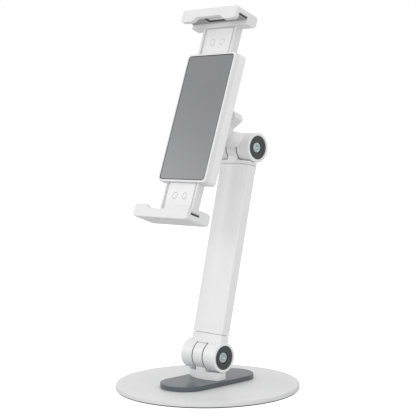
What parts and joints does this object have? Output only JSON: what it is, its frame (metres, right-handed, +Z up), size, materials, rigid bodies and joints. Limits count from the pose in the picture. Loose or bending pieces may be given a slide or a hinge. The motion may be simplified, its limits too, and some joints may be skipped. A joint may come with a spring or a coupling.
{
  "type": "tablet stand",
  "caption": "Desk stand for a tablet: round swivelling base, leaning arm with a friction hinge at each end, and a holder on a ball joint with sliding hook jaws.",
  "frame": {"origin": "centre of the base's underside, on the surface that it stands on", "axes": "+Z up; X along the two hinge axes; -Y is the front, the side that the tablet faces"},
  "size_m": [0.18, 0.18, 0.3701],
  "materials": {
    "white_coated_steel": "satin powder coat",
    "white_coated_aluminium": "satin powder coat",
    "grey_gloss_plate": "gloss",
    "white_plastic": "satin",
    "dark_plastic": "satin",
    "nylon": "satin",
    "black_nylon": "matte",
    "steel": "plated",
    "dark_rubber": "matte",
    "grey_silicone": "matte"
  },
  "bodies": {
    "base": {"base_disc": "white_coated_steel", "base_foot_pad": "dark_rubber", "pivot_spring_washer": "steel"},
    "swivel": {"swivel_plate": "grey_gloss_plate", "swivel_washer": "nylon", "base_bracket": "white_coated_aluminium", "bracket_screws": "steel", "pivot_bolt": "steel"},
    "arm": {"lower_fork": "white_coated_aluminium", "arm_tube": "white_coated_aluminium", "arm_head": "white_coated_aluminium", "fork_screws": "steel", "head_screws": "steel", "lower_hinge_bolt": "steel", "lower_hinge_nut": "steel", "lower_hinge_pressure_disc": "dark_plastic", "lower_hinge_end_cap": "dark_plastic", "lower_hinge_spring_washers": "steel", "lower_hinge_friction_washers": "black_nylon"},
    "neck": {"holder_fork": "white_coated_aluminium", "ball_stud": "steel", "upper_hinge_bolt": "steel", "upper_hinge_nut": "steel", "upper_hinge_pressure_disc": "dark_plastic", "upper_hinge_end_cap": "dark_plastic", "upper_hinge_spring_washers": "steel", "upper_hinge_friction_washers": "black_nylon"},
    "rear_seat": {"ball_seat_rear": "nylon"},
    "front_seat": {"ball_seat_front": "nylon"},
    "holder": {"socket_cup": "white_plastic", "socket_screws": "steel", "back_shell": "white_plastic", "front_shell": "white_plastic", "front_pad": "grey_silicone", "shell_screws": "steel", "pinion_shaft": "steel", "pinion_spring": "steel"},
    "ring": {"lock_ring": "white_plastic"},
    "top_jaw": {"upper_jaw": "white_plastic", "upper_jaw_liner": "grey_silicone", "upper_slide_plate": "white_coated_steel", "upper_slide_rivets": "steel", "upper_rack": "steel", "upper_rack_screws": "steel"},
    "bottom_jaw": {"lower_jaw": "white_plastic", "lower_jaw_liner": "grey_silicone", "lower_slide_plate": "white_coated_steel", "lower_slide_rivets": "steel", "lower_rack": "steel", "lower_rack_screws": "steel"},
    "pinion": {"sync_pinion": "nylon"}
  },
  "joints": [
    {"name": "base_swivel", "type": "hinge", "parent": "base", "child": "swivel", "pos_m": [0, 0, 0.0052], "axis": [0, 0, 1], "continuous": true},
    {"name": "lower_hinge", "type": "hinge", "parent": "swivel", "child": "arm", "pos_m": [0, 0, 0.0321], "axis": [1, 0, 0], "range_deg": [-77, 73]},
    {"name": "upper_hinge", "type": "hinge", "parent": "arm", "child": "neck", "pos_m": [0, 0.04938, 0.23467], "axis": [-1, 0, 0], "range_deg": [-20, 160]},
    {"name": "ball_pan", "type": "hinge", "parent": "neck", "child": "rear_seat", "pos_m": [0, 0.01544, 0.25507], "axis": [0, 0.3338, 0.9426], "range_deg": [-12, 12]},
    {"name": "ball_tilt", "type": "hinge", "parent": "rear_seat", "child": "front_seat", "pos_m": [0, 0.01544, 0.25507], "axis": [1, 0, 0], "range_deg": [-33, 11]},
    {"name": "ball_spin", "type": "hinge", "parent": "front_seat", "child": "holder", "pos_m": [0, 0.01544, 0.25507], "axis": [0, -0.9426, 0.3338], "continuous": true},
    {"name": "lock_ring_turn", "type": "hinge", "parent": "holder", "child": "ring", "pos_m": [0, 0.01544, 0.25507], "axis": [0, -0.9426, 0.3338], "range_deg": [0, 90]},
    {"name": "top_jaw_slide", "type": "slide", "parent": "holder", "child": "top_jaw", "axis": [0, 0.3338, 0.9426], "range_m": [-0.027, 0.007]},
    {"name": "bottom_jaw_slide", "type": "slide", "parent": "holder", "child": "bottom_jaw", "axis": [0, -0.3338, -0.9426], "range_m": [-0.027, 0.007]},
    {"name": "pinion_spin", "type": "hinge", "parent": "holder", "child": "pinion", "pos_m": [0, -0.01284, 0.26508], "axis": [0, -0.9426, 0.3338], "range_deg": [-173, 46]}
  ],
  "couplings": [
    {"joint": "bottom_jaw_slide", "follows": "top_jaw_slide", "ratio": 1},
    {"joint": "pinion_spin", "follows": "top_jaw_slide", "rad_per_m": 111.11}
  ]
}
